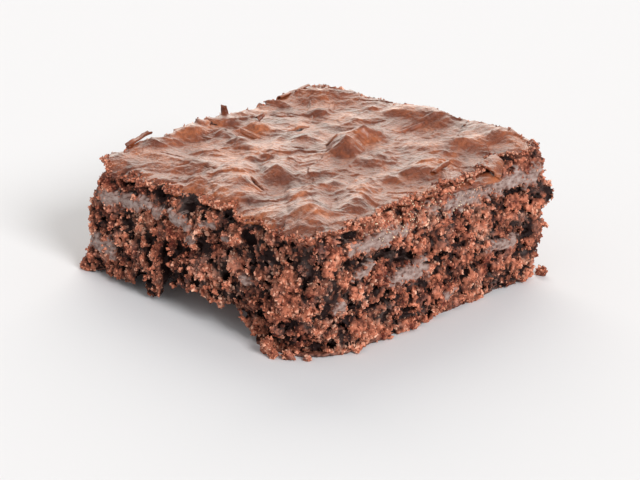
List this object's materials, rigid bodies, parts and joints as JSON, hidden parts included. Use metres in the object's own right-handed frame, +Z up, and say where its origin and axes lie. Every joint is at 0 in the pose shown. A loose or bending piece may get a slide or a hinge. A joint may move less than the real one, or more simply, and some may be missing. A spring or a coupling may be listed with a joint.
{
  "type": "chocolate brownie",
  "caption": "Square of chocolate brownie with a crinkled glossy crust, an open crumb on its cut sides and a flat base to rest on.",
  "frame": {"origin": "centre of the bounding box's bottom face, on the surface that the brownie rests on", "axes": "+Z up out of the crust, +X along the near cut (the side with the hollow at its foot, which faces -Y), +Y along the right-hand cut (which faces +X)"},
  "size_m": [0.0728, 0.0706, 0.0301],
  "materials": {
    "crumb": "baked cocoa crumb, open and rough, torn by the knife",
    "crust": "thin baked sugar crust, crinkled, satin gloss",
    "fudge": "melted chocolate smeared by the knife, grey-brown, smooth and pitted"
  },
  "bodies": {
    "root": {"brownie": "crumb"}
  },
  "joints": []
}
